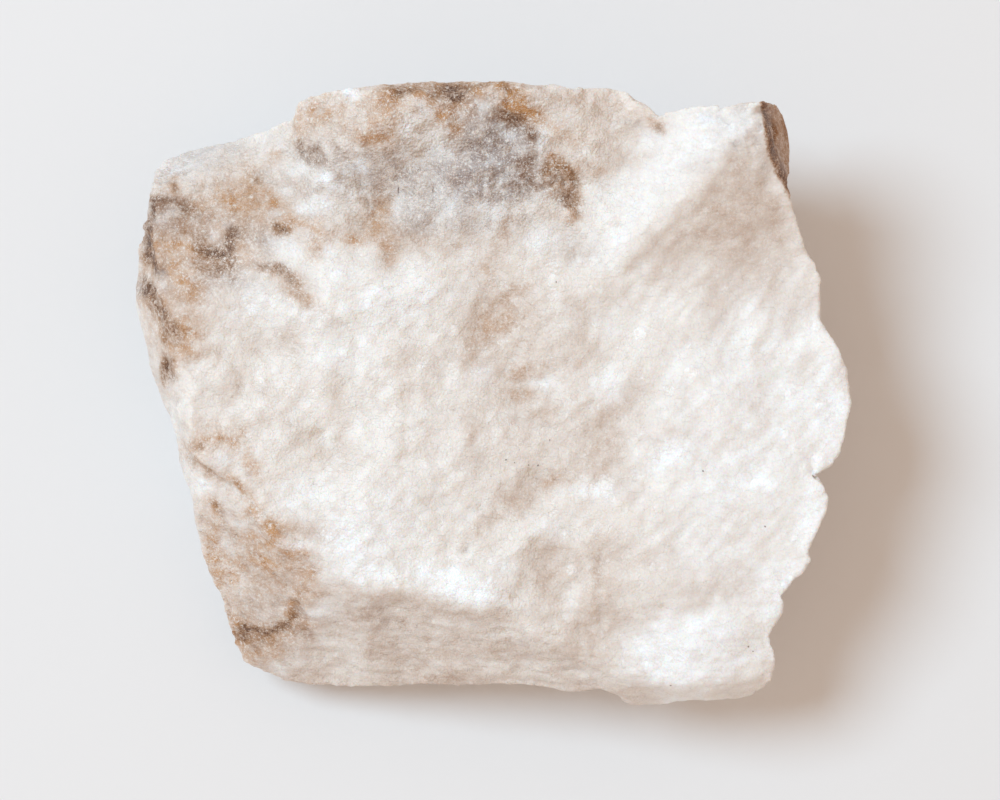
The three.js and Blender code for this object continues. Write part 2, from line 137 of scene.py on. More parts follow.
# Its stains, each a patch on the top: pixels right and down, half length, half width, turn and strength
STAINS = {
    "beige": [
        (212, 165, 52, 16, 20, 0.2), (455, 84, 80, 5, 0, 0.4),
        # broad hazes
        (240, 208, 70, 38, 12, 0.78), (168, 265, 28, 74, 8, 0.74), (190, 300, 40, 30, -30, 0.35),
        (320, 120, 44, 34, 10, 0.1), (390, 135, 40, 34, 0, 0.12), (262, 575, 46, 44, -20, 0.42),
        (262, 598, 42, 20, 0, 0.2), (265, 638, 54, 26, 0, 0.45), (735, 232, 60, 50, -66, 0.56),
        (430, 640, 150, 40, -3, 0.22), (540, 420, 90, 60, 60, 0.25), (600, 560, 60, 40, 0, 0.25),
        (380, 235, 60, 24, -4, 0.22), (470, 240, 110, 22, -4, 0.18), (330, 215, 40, 16, 0, 0.25),
        (600, 130, 60, 30, -12, 0.04), (505, 318, 58, 40, 40, 0.35), (205, 440, 30, 30, 0, 0.25),
        (170, 350, 26, 40, 0, 0.25), (220, 470, 50, 20, -40, 0.25), (400, 165, 50, 30, 0, 0.25),
        # north
        (379, 214, 14, 28, -6, 1.0), (382, 210, 10, 18, -6, 0.3), (390, 252, 9, 18, -8, 0.7),
        (405, 246, 20, 8, 0, 0.4), (502, 238, 9, 30, -20, 0.4), (490, 268, 8, 16, -25, 0.35),
        (545, 210, 22, 9, 0, 0.45), (600, 168, 30, 9, 8, 0.4), (455, 155, 7, 22, 0, 0.4),
        (372, 166, 16, 12, 0, 0.2), (640, 160, 24, 6, 8, 0.4), (425, 240, 40, 10, -4, 0.3),
        # west
        (205, 352, 18, 9, 0, 0.45), (240, 377, 9, 16, 35, 0.4), (262, 388, 12, 6, -30, 0.4),
        (290, 340, 9, 20, 30, 0.5), (262, 345, 26, 12, 10, 0.35), (250, 310, 30, 10, -8, 0.3),
        (225, 300, 26, 12, 20, 0.3), (340, 430, 8, 46, 4, 0.35), (335, 385, 9, 24, 0, 0.25),
        (406, 378, 10, 28, 6, 0.4), (300, 440, 10, 20, 20, 0.25), (320, 455, 16, 10, 30, 0.25),
        (310, 300, 26, 8, -30, 0.25), (225, 395, 20, 12, 0, 0.3),
        # middle
        (494, 322, 17, 14, 60, 0.78), (502, 322, 36, 26, 30, 0.5), (487, 335, 12, 16, 0, 0.5),
        (512, 293, 17, 6, 20, 0.5), (470, 356, 8, 18, 0, 0.45), (530, 345, 14, 10, 0, 0.3),
        (476, 345, 30, 11, 72, 0.3), (512, 296, 26, 9, 35, 0.65), (519, 371, 20, 9, 5, 0.8),
        (522, 394, 20, 10, 5, 0.8), (556, 366, 20, 10, 0, 0.35), (582, 330, 18, 13, 70, 0.4),
        (472, 432, 22, 8, 78, 0.55), (545, 414, 18, 7, 10, 0.5), (555, 480, 24, 8, 15, 0.85),
        (518, 500, 28, 14, 10, 0.65), (500, 520, 22, 8, 35, 0.4), (606, 450, 34, 22, 80, 0.65),
        (620, 402, 34, 11, 38, 0.5), (668, 438, 20, 15, 80, 0.3), (680, 382, 22, 10, 60, 0.25),
        (548, 572, 30, 20, 80, 0.6), (598, 575, 38, 13, 88, 0.65), (500, 590, 22, 9, 85, 0.45),
        (478, 528, 26, 8, 42, 0.5), (640, 560, 26, 11, 10, 0.35), (585, 500, 20, 10, 60, 0.3),
        # peak flank: a wedge that opens downwards
        (735, 165, 10, 26, -8, 0.55), (715, 210, 24, 24, -30, 0.35), (752, 200, 12, 36, 16, 0.4),
        (690, 238, 36, 14, 10, 0.35), (776, 220, 8, 34, 18, 0.6), (740, 260, 44, 22, -60, 0.32),
        (768, 285, 14, 30, 20, 0.3), (655, 245, 30, 9, 25, 0.3), (725, 310, 30, 18, -70, 0.35),
        (690, 285, 30, 14, 10, 0.25),
        # south-east and south slope
        (702, 590, 26, 13, 10, 0.4), (745, 580, 16, 10, 0, 0.25), (672, 570, 20, 12, 0, 0.25),
        (360, 620, 60, 14, -6, 0.34), (385, 655, 46, 14, -4, 0.32), (500, 650, 60, 12, -4, 0.34),
        (455, 680, 80, 8, -1, 0.42), (600, 625, 30, 20, 0, 0.4), (570, 655, 40, 12, 0, 0.3),
        (390, 598, 52, 7, -6, 0.45), (305, 532, 46, 10, -4, 0.75), (290, 530, 18, 8, 0, 0.4),
        (470, 612, 60, 6, -3, 0.4), (340, 590, 26, 10, 0, 0.3), (640, 690, 26, 8, 0, 0.3),
        (375, 612, 26, 9, -10, 0.45), (380, 640, 24, 10, -60, 0.35),
        # south-west face
        (262, 560, 30, 18, -10, 0.45), (270, 590, 36, 16, 0, 0.4), (250, 610, 26, 10, 0, 0.4),
        (265, 650, 28, 10, -10, 0.65), (235, 520, 14, 14, 0, 0.3),
    ],
    "grey": [
        # north
        (490, 150, 36, 48, 0, 0.85), (470, 180, 34, 36, 0, 0.5), (425, 180, 44, 38, 0, 0.45),
        (515, 168, 26, 28, 0, 0.55), (345, 178, 46, 24, 0, 0.36), (372, 165, 24, 22, 0, 0.2),
        (527, 170, 9, 13, 0, 0.75), (532, 187, 12, 7, 0, 0.7), (518, 125, 22, 8, -40, 0.7),
        (530, 138, 10, 10, 0, 0.6), (456, 118, 16, 16, 0, 0.35), (495, 120, 14, 10, -30, 0.3),
        (550, 186, 14, 8, 0, 0.5), (480, 225, 60, 10, -2, 0.2), (412, 228, 24, 10, 0, 0.3),
        (575, 250, 26, 16, 0, 0.2), (632, 123, 10, 6, -20, 0.4), (425, 105, 9, 12, 0, 0.4),
        (400, 155, 10, 20, 0, 0.3), (500, 195, 20, 8, 0, 0.3), (488, 115, 12, 14, 0, 0.35),
        (420, 215, 20, 12, 0, 0.2), (310, 152, 22, 10, -10, 0.35), (735, 122, 26, 16, 0, 0.16),
        # these six thin marks are painted shade along the cracks of the crumbled crest by the peak
        (744, 130, 3, 13, 6, 0.4), (757, 142, 3, 16, 4, 0.3), (751, 118, 4, 8, -10, 0.3),
        (735, 112, 9, 3, -20, 0.22), (724, 148, 10, 3, 40, 0.2), (764, 165, 3, 14, 8, 0.3),
        # north-west
        (182, 226, 26, 14, 0, 0.8), (172, 205, 20, 8, 0, 0.7), (158, 240, 10, 34, 0, 0.35),
        (205, 222, 9, 16, 0, 0.5), (262, 238, 24, 12, -6, 0.42), (240, 222, 16, 8, 0, 0.3),
        (222, 272, 28, 12, -10, 0.4), (190, 262, 22, 6, 0, 0.5), (280, 268, 24, 8, -20, 0.35),
        (205, 285, 14, 12, 0, 0.3), (250, 285, 30, 8, -10, 0.25), (235, 250, 10, 10, 0, 0.3),
        (160, 205, 8, 8, 0, 0.4), (165, 290, 12, 10, -40, 0.4), (265, 180, 20, 14, 0, 0.2),
        # south-west
        (275, 582, 26, 12, 0, 0.2), (262, 606, 28, 9, 0, 0.25), (262, 632, 38, 12, -2, 0.45),
        (250, 640, 18, 8, 0, 0.3), (380, 618, 14, 8, -40, 0.25),
    ],
    "ochre": [
        (556, 168, 8, 11, 0, 0.4), (566, 178, 8, 14, 16, 0.2),
        # middle
        (496, 324, 14, 12, 40, 0.28), (519, 372, 16, 8, 0, 0.18), (522, 395, 16, 8, 0, 0.18),
        (556, 480, 14, 6, 15, 0.2),
        # hazes
        (390, 115, 34, 30, 0, 0.32), (320, 115, 38, 28, 0, 0.2), (240, 205, 56, 30, 10, 0.32),
        (178, 252, 46, 28, 0, 0.5), (180, 335, 24, 26, -30, 0.3), (255, 562, 54, 42, -20, 0.4),
        (265, 595, 40, 22, 0, 0.15), (214, 550, 8, 46, 6, 0.15), (600, 122, 62, 34, -10, 0.18),
        (460, 100, 60, 16, 0, 0.35), (455, 84, 78, 4, 0, 0.5), (222, 440, 30, 20, 0, 0.2),
        (262, 650, 30, 12, 0, 0.25), (214, 556, 12, 50, 8, 0.34),
        # north
        (388, 96, 12, 14, 0, 0.5), (345, 105, 30, 12, 0, 0.2), (310, 120, 12, 24, 0, 0.25),
        (404, 90, 12, 7, 0, 0.5), (428, 91, 18, 8, 0, 0.7), (442, 112, 7, 14, -10, 0.75),
        (452, 127, 8, 9, 0, 0.6), (460, 108, 12, 10, 0, 0.35), (470, 95, 16, 8, 0, 0.35),
        (380, 132, 15, 13, 0, 0.5), (366, 140, 10, 7, 0, 0.35), (513, 98, 10, 13, -20, 1.0),
        (522, 105, 14, 9, -40, 0.9), (535, 114, 16, 7, -30, 0.75), (522, 119, 12, 6, -30, 0.6),
        (498, 88, 16, 4, -6, 0.6), (548, 128, 16, 8, -6, 0.4), (570, 140, 24, 9, -10, 0.25),
        (552, 155, 10, 6, -30, 0.9), (546, 168, 5, 10, 0, 0.6), (564, 167, 6, 12, 16, 0.7),
        (572, 186, 8, 14, 0, 0.5), (560, 190, 14, 7, 0, 0.4), (573, 206, 7, 6, 0, 0.9),
        (571, 217, 8, 5, 20, 0.85), (560, 97, 24, 7, -8, 0.2), (615, 108, 30, 10, -12, 0.12),
        (655, 122, 10, 5, -40, 0.6), (662, 126, 5, 3, -50, 0.6), (590, 168, 22, 9, -12, 0.25),
        (354, 240, 11, 6, 0, 0.7), (379, 220, 12, 22, -4, 0.5), (388, 246, 10, 6, 0, 0.35),
        (391, 262, 6, 6, 0, 0.3), (505, 225, 8, 20, -16, 0.2), (487, 272, 10, 12, -30, 0.2),
        (314, 104, 14, 12, 0, 0.3), (297, 130, 8, 14, 0, 0.35), (336, 108, 18, 8, 0, 0.2),
        (352, 133, 16, 8, 0, 0.3), (330, 122, 8, 16, 0, 0.2), (478, 92, 12, 5, 0, 0.4),
        # north-west
        (172, 184, 6, 9, -10, 0.6), (228, 200, 12, 9, 0, 0.5), (236, 206, 12, 7, 0, 0.4),
        (262, 194, 13, 6, -6, 0.6), (273, 206, 10, 5, -14, 0.65), (256, 182, 9, 5, 0, 0.35),
        (272, 155, 10, 6, 15, 0.5), (246, 168, 8, 18, 0, 0.3), (205, 208, 10, 8, 0, 0.45),
        (296, 218, 9, 7, -30, 0.5), (310, 228, 12, 4, -14, 0.5), (316, 246, 8, 12, 10, 0.6),
        (318, 216, 6, 8, 0, 0.3), (283, 229, 10, 9, 0, 0.6), (172, 249, 20, 6, 0, 0.6),
        (196, 250, 12, 6, 0, 0.4), (183, 283, 14, 14, -40, 0.55), (196, 292, 12, 8, -30, 0.4),
        (170, 265, 10, 8, 0, 0.3), (222, 262, 20, 8, 0, 0.35), (272, 268, 24, 7, -22, 0.4),
        (298, 288, 14, 10, -40, 0.5), (308, 302, 7, 8, 0, 0.35), (140, 270, 4, 18, 0, 0.35),
        (150, 262, 8, 12, 0, 0.35), (214, 232, 6, 10, 0, 0.25), (245, 250, 12, 8, 0, 0.3),
        (330, 235, 14, 6, 0, 0.2), (300, 244, 6, 4, 0, 0.3),
        # west
        (150, 300, 10, 12, -50, 0.6), (166, 322, 9, 20, 32, 0.6), (184, 340, 18, 14, -20, 0.35),
        (168, 368, 8, 14, 0, 0.75), (186, 332, 8, 10, 0, 0.3), (150, 330, 8, 26, 10, 0.2),
        (172, 395, 12, 8, 0, 0.2), (218, 439, 14, 5, 6, 0.65), (234, 441, 6, 6, -50, 0.95),
        (242, 430, 6, 6, 40, 0.45), (250, 465, 7, 16, 24, 0.5), (192, 446, 12, 6, -10, 0.35),
        (200, 452, 8, 5, 0, 0.4), (262, 468, 8, 8, 0, 0.25), (200, 466, 22, 5, -36, 0.5),
        (228, 482, 18, 6, -36, 0.55), (240, 490, 10, 5, -40, 0.5),
        # south-west
        (217, 508, 7, 6, -40, 0.7), (206, 500, 5, 4, 0, 0.3), (218, 522, 7, 6, 0, 0.45),
        (252, 508, 12, 7, -50, 0.6), (270, 526, 13, 8, -40, 0.85), (272, 541, 12, 6, -30, 0.6),
        (248, 538, 12, 7, -30, 0.45), (294, 553, 12, 6, -14, 0.9), (309, 567, 6, 11, 30, 0.75),
        (302, 560, 8, 6, 0, 0.5), (226, 576, 10, 14, 0, 0.35), (233, 580, 4, 4, 0, 0.4),
        (214, 545, 6, 20, 8, 0.25), (310, 593, 10, 6, 0, 0.5), (296, 608, 8, 10, 0, 0.9),
        (292, 620, 10, 6, 20, 0.7), (310, 625, 9, 6, 0, 0.4), (262, 560, 24, 8, -10, 0.45),
        (285, 558, 12, 8, 0, 0.3), (235, 565, 12, 8, 0, 0.3), (262, 633, 36, 11, 2, 0.7),
        (240, 632, 10, 8, 0, 0.4), (228, 622, 5, 8, 0, 0.35), (305, 578, 8, 8, 0, 0.3),
    ],
    "umber": [
        # north
        (400, 93, 8, 6, 0, 0.65), (412, 89, 8, 5, 0, 0.5), (434, 94, 6, 5, 0, 0.5),
        (457, 92, 14, 10, 0, 0.85), (461, 97, 7, 6, 0, 0.9), (447, 87, 7, 5, 0, 0.6),
        (395, 87, 14, 2, 0, 0.5), (425, 86, 16, 2, 0, 0.4), (480, 85, 14, 2, 0, 0.4),
        (506, 89, 8, 3, -10, 0.4), (385, 131, 9, 8, 0, 0.2), (452, 124, 6, 8, 0, 0.3),
        (516, 122, 16, 7, -38, 0.65), (530, 135, 9, 8, -30, 0.7), (522, 115, 8, 5, -30, 0.4),
        (506, 117, 9, 6, 0, 0.45), (528, 168, 9, 12, 0, 0.55), (532, 187, 12, 6, 0, 0.6),
        (545, 168, 5, 9, 0, 0.5), (556, 172, 7, 8, 0, 0.35), (564, 168, 7, 12, 20, 0.5),
        (572, 184, 6, 11, 0, 0.5), (569, 203, 8, 4, -12, 0.8), (574, 212, 5, 7, 0, 0.35),
        (550, 182, 12, 5, 0, 0.45), (660, 126, 5, 2, -50, 0.5), (637, 97, 7, 2, -30, 0.4),
        (566, 196, 10, 2, -10, 0.5),
        # north-west
        (173, 188, 4, 5, 0, 0.55), (155, 206, 5, 10, -12, 0.95), (151, 224, 6, 11, -12, 1),
        (147, 242, 5, 8, 0, 0.85), (150, 255, 6, 10, 6, 1), (156, 269, 6, 9, 30, 0.9),
        (170, 203, 13, 5, -6, 0.55), (186, 207, 6, 9, 0, 0.55), (196, 213, 5, 8, 20, 0.35),
        (146, 237, 4, 3, 0, 0.6), (200, 245, 6, 11, 0, 0.6), (211, 252, 11, 7, 0, 1.0),
        (221, 256, 8, 5, 0, 0.9), (230, 247, 6, 10, 0, 0.8), (232, 234, 8, 7, 0, 0.8),
        (223, 241, 7, 7, 0, 0.5), (242, 235, 7, 5, 0, 0.5), (216, 270, 18, 7, 0, 0.5),
        (233, 264, 10, 6, 0, 0.5), (190, 235, 18, 5, -8, 0.35), (284, 231, 7, 6, 0, 0.7),
        (276, 225, 5, 4, 0, 0.5), (262, 264, 10, 4, -6, 0.55), (280, 269, 11, 4, -30, 0.5),
        (292, 280, 8, 5, -50, 0.35), (300, 291, 8, 5, -50, 0.22), (308, 304, 5, 4, 0, 0.22),
        (303, 144, 5, 4, -20, 0.6), (305, 152, 4, 6, 20, 0.6), (314, 150, 4, 5, -40, 0.5),
        (312, 159, 8, 4, -20, 0.45), (320, 154, 4, 3, 0, 0.3), (322, 160, 7, 3, 0, 0.35),
        (335, 148, 4, 4, 0, 0.4), (296, 143, 4, 3, 0, 0.35), (345, 157, 6, 2, 0, 0.35),
        (254, 182, 5, 3, 0, 0.5), (143, 252, 3, 14, 0, 0.3),
        # west
        (146, 290, 7, 7, -50, 1), (153, 301, 6, 8, 32, 1), (161, 315, 6, 10, 32, 0.8),
        (170, 329, 7, 11, 32, 0.75), (141, 283, 4, 8, 0, 0.5), (167, 365, 6, 10, 0, 0.9),
        (171, 378, 5, 6, 0, 0.6), (177, 340, 6, 6, 0, 0.25), (190, 460, 10, 3, -36, 0.22),
        (205, 470, 14, 3, -36, 0.28), (237, 488, 6, 4, -40, 0.3), (203, 450, 4, 3, 0, 0.4),
        (239, 385, 4, 7, 20, 0.2),
        # south-west
        (216, 505, 5, 4, -40, 0.3), (221, 514, 4, 4, -40, 0.22), (262, 631, 30, 6, 2, 0.6),
        (246, 634, 12, 5, 0, 0.85), (264, 630, 12, 4, 0, 0.7), (287, 623, 13, 5, 22, 0.65),
        (298, 614, 6, 7, 0, 0.5), (296, 604, 5, 5, 0, 0.35), (256, 641, 16, 5, -8, 0.3),
        (308, 632, 10, 3, -40, 0.3), (226, 614, 3, 6, 0, 0.3), (404, 625, 6, 3, 0, 0.2),
        (465, 550, 3, 6, -30, 0.35),
    ],
    # Chalky white of bruises, and painted light over the south-east lobe
    "bruise_and_painted_light": [
        (326, 180, 8, 9, 0, 0.8), (350, 92, 9, 5, 0, 1), (409, 130, 8, 14, 0, 0.5),
        (441, 150, 12, 8, 0, 0.45), (396, 206, 5, 11, -10, 0.25), (449, 207, 14, 11, 0, 0.35),
        (487, 211, 14, 9, 0, 0.3), (544, 144, 7, 12, 0, 0.6), (488, 165, 12, 4, 0, 0.35),
        (422, 110, 6, 8, 0, 0.35), (480, 106, 8, 5, -20, 0.35), (540, 240, 20, 14, 30, 0.35),
        (362, 166, 8, 7, 0, 0.4), (505, 133, 10, 3, -35, 0.4), (213, 235, 5, 7, 0, 0.35),
        (162, 218, 8, 4, 20, 0.25), (287, 247, 15, 8, -12, 0.45), (318, 206, 16, 8, 0, 0.5),
        (303, 206, 8, 5, 0, 0.4), (285, 190, 10, 8, 0, 0.35), (298, 170, 12, 7, 0, 0.35),
        (180, 160, 34, 14, 20, 0.35), (272, 212, 5, 4, 0, 0.4), (262, 300, 26, 12, -10, 0.32),
        (235, 312, 20, 10, 0, 0.25), (290, 318, 24, 10, 0, 0.25), (225, 225, 6, 5, 0, 0.3),
        (335, 275, 20, 12, 0, 0.4), (330, 250, 7, 7, 0, 0.4), (160, 280, 5, 8, 0, 0.4),
        (202, 488, 8, 6, -40, 0.8), (240, 524, 14, 4, -28, 0.35), (285, 502, 10, 4, 0, 0.4),
        (292, 545, 12, 4, 0, 0.45), (228, 548, 8, 8, 0, 0.3), (215, 612, 6, 5, 0, 0.3),
        (280, 668, 10, 7, 0, 0.4), (222, 458, 12, 8, 0, 0.4), (310, 612, 12, 6, -10, 0.4),
        (330, 610, 16, 8, 0, 0.3), (298, 660, 14, 7, 0, 0.3),
        # ridge and white face by the peak
        (690, 150, 46, 20, 27, 0.4), (640, 195, 44, 22, 30, 0.25), (735, 125, 14, 10, 0, 0.2),
        (618, 235, 24, 16, 60, 0.25), (655, 135, 18, 8, 0, 0.3), (700, 118, 26, 10, 5, 0.3),
        # bright places in the middle and along the south edge; the marks over the south-east lobe are painted
        # light on its lit top
        (470, 590, 34, 12, -4, 1), (440, 575, 26, 8, -15, 0.6), (700, 645, 56, 26, 0, 1),
        (690, 660, 50, 22, 0, 1), (664, 678, 16, 7, 0, 1), (775, 595, 16, 30, -25, 0.75),
        (812, 505, 34, 14, 75, 0.6), (832, 410, 50, 12, 88, 0.6), (668, 455, 24, 14, 10, 0.7),
        (592, 492, 22, 8, 0, 0.5), (380, 300, 40, 24, 10, 0.35), (340, 350, 30, 24, 0, 0.3),
        (300, 495, 26, 18, 0, 0.35), (345, 540, 40, 20, 10, 0.45), (365, 575, 34, 10, -4, 0.5),
        (780, 640, 12, 20, 0, 0.7), (740, 480, 40, 30, 0, 0.35), (610, 385, 14, 14, 0, 0.5),
        (545, 385, 12, 9, 0, 0.45), (548, 528, 16, 10, 0, 0.4), (505, 565, 14, 8, 0, 0.35),
        (478, 375, 10, 8, 0, 0.4), (612, 325, 14, 12, 0, 0.35), (385, 520, 60, 40, 10, 0.25),
        (430, 300, 30, 16, 20, 0.3), (715, 480, 30, 20, 0, 0.3), (760, 400, 90, 110, 0, 0.35),
        (720, 560, 70, 50, 0, 0.3),
    ],
}
# Stains on the sides, each a ball: x, y, z and radius in mm, and strength
SIDE_STAINS = {
    "beige": [
        (23, 4, 7, 4, 0.5), (20, -12, 6, 4, 0.5), (8, -20, 6, 4, 0.6), (-14, -19, 3, 4, 0.6),
        (-23, 2, 6, 4, 0.4), (24, -6, 3, 5, 0.35), (-4, -20, 8, 4, 0.4),
    ],
    "grey": [(-2, 21, 7, 4, 0.6), (-20, 16, 6, 4, 0.5), (12, 20, 5, 4, 0.5), (22, 10, 4, 4, 0.35)],
    "ochre": [
        (20, 18, 9, 4, 0.7), (-8, 21, 8, 4, 0.6), (5, 22, 6, 4, 0.6), (-22, 12, 6, 4, 0.5),
        (14, 20, 6, 3.5, 0.5), (-19, -10, 5, 4, 0.5), (-18, -16, 4, 3, 0.4),
    ],
    "umber": [(20.5, 17.6, 10, 2.6, 0.5), (2, 22, 8, 3, 0.5), (-23, 9, 6, 2.5, 0.5), (-12, 20, 7, 3, 0.4)],
    "bruise_and_painted_light": [(24, -1, 11, 3, 0.6), (14, -21, 7, 3, 0.6)],
}
STRAY = 0.22  # how far the borders of a stain wander, mm
NARROWEST = 4  # pixels: half of a stain narrower than this would fall between the points


def strayed(size, amount):
    """The points, moved about in swirls of that size."""
    return points + amount * np.array([noise.noise_vector(place / size) for place in places])


def seen(places):
    """Where the camera sees those places: pixels to the right and down its picture."""
    nearer = CAMERA_ABOVE / (CAMERA_ABOVE + HALF_HEIGHT - places[:, 2])
    right = PICTURE[0] / 2 + (places[:, 0] - AIM[0]) * nearer / PIXEL
    down = PICTURE[1] / 2 - (places[:, 1] - AIM[1]) * nearer / PIXEL
    return right, down


wandering = strayed(1.6, 1.6 * STRAY) + strayed(0.6, STRAY) - points
SEEPING = 5.0  # how far below the rim a stain of the top still runs, mm


def stained(kind):
    """How strongly each point has that stain, 0 to 1."""
    clean = np.ones(len(points))
    right, down = seen(wandering)
    for mark_right, mark_down, long, wide, turn, strength in STAINS[kind]:
        cos, sin = math.cos(math.radians(turn)), math.sin(math.radians(turn))
        east, north = right - mark_right, mark_down - down
        along, across = east * cos + north * sin, north * cos - east * sin
        reach = (along / max(long, NARROWEST)) ** 2 + (across / max(wide, NARROWEST)) ** 2
        near = reach < 9
        top = points[near & (reach < 1 + reach.min()), 2].max()
        seeped = np.exp(-((np.maximum(top - points[near, 2], 0) / SEEPING) ** 4))
        clean[near] *= 1 - strength * np.exp(-0.9 * reach[near] ** 1.15) * seeped
    for x, y, z, radius, strength in SIDE_STAINS[kind]:
        reach = ((wandering - (x, y, z)) ** 2).sum(axis=1) / radius**2
        clean *= 1 - strength * np.exp(-(reach**1.5))
    return 1 - clean


stains = {kind: stained(kind) for kind in STAINS}

# The corner face beside the peak: it starts at this line of pixels along the top and falls away eastwards
CORNER = [(759, 72), (760, 105), (764, 130), (768, 154), (773, 168), (780, 182), (786, 193), (796, 208)]
CORNER_SLOPE = 1.1  # mm down for each mm east
CORNER_DEEPEST = 1.6  # mm
# Cracks: a line of pixels along the top, depth and width, mm
CRACKS = [
    ([(185, 452), (196, 462), (212, 474), (232, 490), (250, 503), (270, 520), (300, 545)], 0.3, 0.22),
    ([(600, 560), (598, 600), (602, 625)], 0.2, 0.3),
    ([(262, 290), (280, 301), (300, 310)], 0.12, 0.15),
    ([(310, 290), (327, 296), (345, 305)], 0.12, 0.15),
    ([(330, 322), (350, 325)], 0.12, 0.15),
    ([(283, 330), (292, 344), (305, 355)], 0.1, 0.15),
    ([(232, 362), (246, 385), (262, 390)], 0.1, 0.15),
    ([(827, 482), (815, 475), (812, 464)], 0.3, 0.25),
    ([(724, 102), (734, 113), (728, 125), (738, 137), (735, 149)], 0.2, 0.16),
    ([(744, 118), (750, 134), (747, 147), (753, 162)], 0.16, 0.14),
    ([(704, 103), (710, 112), (706, 119)], 0.14, 0.14),
]
# Ledges: a line of pixels along the top, with the ground to its left raised by that height, mm
LEDGES = [
    ([(532, 422), (548, 425), (560, 425), (570, 418), (576, 412)], 0.16),
    ([(682, 415), (672, 424), (655, 425), (640, 432), (632, 440), (636, 470)], 0.18),
]
# Chips: scooped flats of each size, every one tilted its own way; size in mm and slope
CHIPS = [(2.6, 0.16), (1.2, 0.18), (0.6, 0.18)]
SIDE_CHIPS = [(5.0, 0.26), (2.2, 0.2)]
SCOOP = 0.16  # how hollow a chip is
BEND = (1.8, 0.5)  # size and reach of the swirls that bend the edges of chips, mm
# Fine ribs: bearing in degrees, length and width in mm, and then how high they stand
TOP_RIBS, TOP_RIB_HEIGHT = (48, 2.2, 0.6), 0.09
SOUTH_RIBS, SOUTH_RIB_HEIGHT = (0, 2.4, 0.45), 0.10
GRAIN_SIZE, GRAIN_HEIGHT = 0.35, 0.05  # mm
UMBER_DEPTH = 0.12  # how far umber stain has eaten in, mm
# The crumbled crest beside the peak: where it is, how far it spreads, and its chips
CRUMBLED_AT, CRUMBLED_SIZE = (16.4, 18.4), (2.6, 2.1)  # mm
CRUMB, CRUMB_SLOPE, CRUMB_STRENGTH = 0.9, 0.4, 1.5
# The south-east lobe stays nearly level right out to its rim
LOBE_AT, LOBE_SIZE, LOBE_RISE = (14.0, -20.2), (3.2, 1.4), 0.6  # mm
CLEARANCE = 0.01  # how far the finished surface stays inside the solid's box, mm


def beside(line):
    """How far (mm) each point lies from the line across the top, on which side, and how far from its ends."""
    right, down = seen(points)
    nearest = np.full(len(points), np.inf)
    side = np.zeros(len(points))
    for start, end in zip(line, line[1:]):
        run, drop = end[0] - start[0], end[1] - start[1]
        east, south = right - start[0], down - start[1]
        along = np.clip((east * run + south * drop) / (run**2 + drop**2), 0, 1)
        away = PIXEL * np.hypot(east - along * run, south - along * drop)
        left = np.sign(east * drop - south * run)
        side = np.where(away < nearest, left, side)
        nearest = np.minimum(nearest, away)
    ends = [PIXEL * np.hypot(right - end[0], down - end[1]) for end in (line[0], line[-1])]
    return nearest, side, np.minimum(*ends)


bent = [Vector(point) for point in strayed(*BEND)]


def chipped(size, slope):
    """Height of chips of that size, which meet in sharp ridges."""
    heights = []
    for place in bent:
        spot = place / size
        flats = []
        for away, middle in zip(*noise.voronoi(spot)):
            tilt = noise.cell_vector(middle * 7.3) - Vector((0.5, 0.5, 0.5))
            flats.append(2 * slope * tilt.dot(spot - middle) + SCOOP * away**2)
        heights.append(size * min(flats))
    return np.array(heights) - np.mean(heights)


def combed(bearing, long, short):
    """Fine ribs that run towards the bearing: noise drawn out to those lengths."""
    cos, sin = math.cos(math.radians(bearing)), math.sin(math.radians(bearing))
    heights = []
    for x, y, z in points:
        spot = Vector(((x * cos + y * sin) / long, (y * cos - x * sin) / short, z / short))
        heights.append(noise.fractal(spot, 1.0, 2.0, 3))
    return np.array(heights)


def hump(middle, size):
    """1 at that place seen from above, and 0 well outside that size."""
    east, north = points[:, 0] - middle[0], points[:, 1] - middle[1]
    return np.exp(-((east / size[0]) ** 2) - (north / size[1]) ** 2)


on_top = fade(normals[:, 2], 0.1, 0.5)
coarse = np.clip(stains["grey"] + stains["ochre"] + stains["umber"], 0, 1)
southern = fade(-points[:, 1], 12.5, 14.5)
northern = fade(points[:, 1], 9, 14) * fade(-points[:, 0], -11, -8) * on_top
# The outline seen from above keeps its line; the walls under it are the roughest part
bearings = np.degrees(np.arctan2(points[:, 1], points[:, 0])).astype(int) % 360
from_middle = np.hypot(points[:, 0], points[:, 1])
widest = np.zeros(360)
np.maximum.at(widest, bearings, from_middle)
wall = (1 - on_top) * fade(widest[bearings] - from_middle, 0.1, 1.2)
crumbled = hump(CRUMBLED_AT, CRUMBLED_SIZE)
crumbs = chipped(CRUMB, CRUMB_SLOPE)
evener = 1 - 0.65 * fade(points[:, 0], 2, 14) * on_top
# How much of the chips' height shows on each kind of ground
chipping = 0.4 * evener + 0.35 * coarse * on_top + 0.15 * northern + 0.5 * wall
relief = sum(chipped(size, slope) for size, slope in CHIPS) * chipping
relief += CRUMB_STRENGTH * crumbs * crumbled
relief += sum(chipped(size, slope) for size, slope in SIDE_CHIPS) * wall
relief += TOP_RIB_HEIGHT * combed(*TOP_RIBS) * (1 - southern) * on_top
relief += SOUTH_RIB_HEIGHT * combed(*SOUTH_RIBS) * southern
grains = np.array([noise.noise(place / GRAIN_SIZE) for place in places])
relief += GRAIN_HEIGHT * grains * (0.5 * evener + 1.2 * coarse)
relief -= UMBER_DEPTH * stains["umber"]
for line, depth, width in CRACKS:
    away, side, end = beside(line)
    relief -= depth * np.exp(-((away / width) ** 2)) * on_top
for line, height in LEDGES:
    away, side, end = beside(line)
    raised = fade(side * away, -0.08, 0.12) * np.exp(-((away / 1.3) ** 2)) * fade(end, 0, 0.7)
    relief += height * raised * on_top
relief *= fade(points[:, 2], 0.2, 3.0)
away, side, end = beside(CORNER)
sunk = CORNER_SLOPE * np.where(side > 0, away, 0) * fade(points[:, 1], 12.6, 13.6)
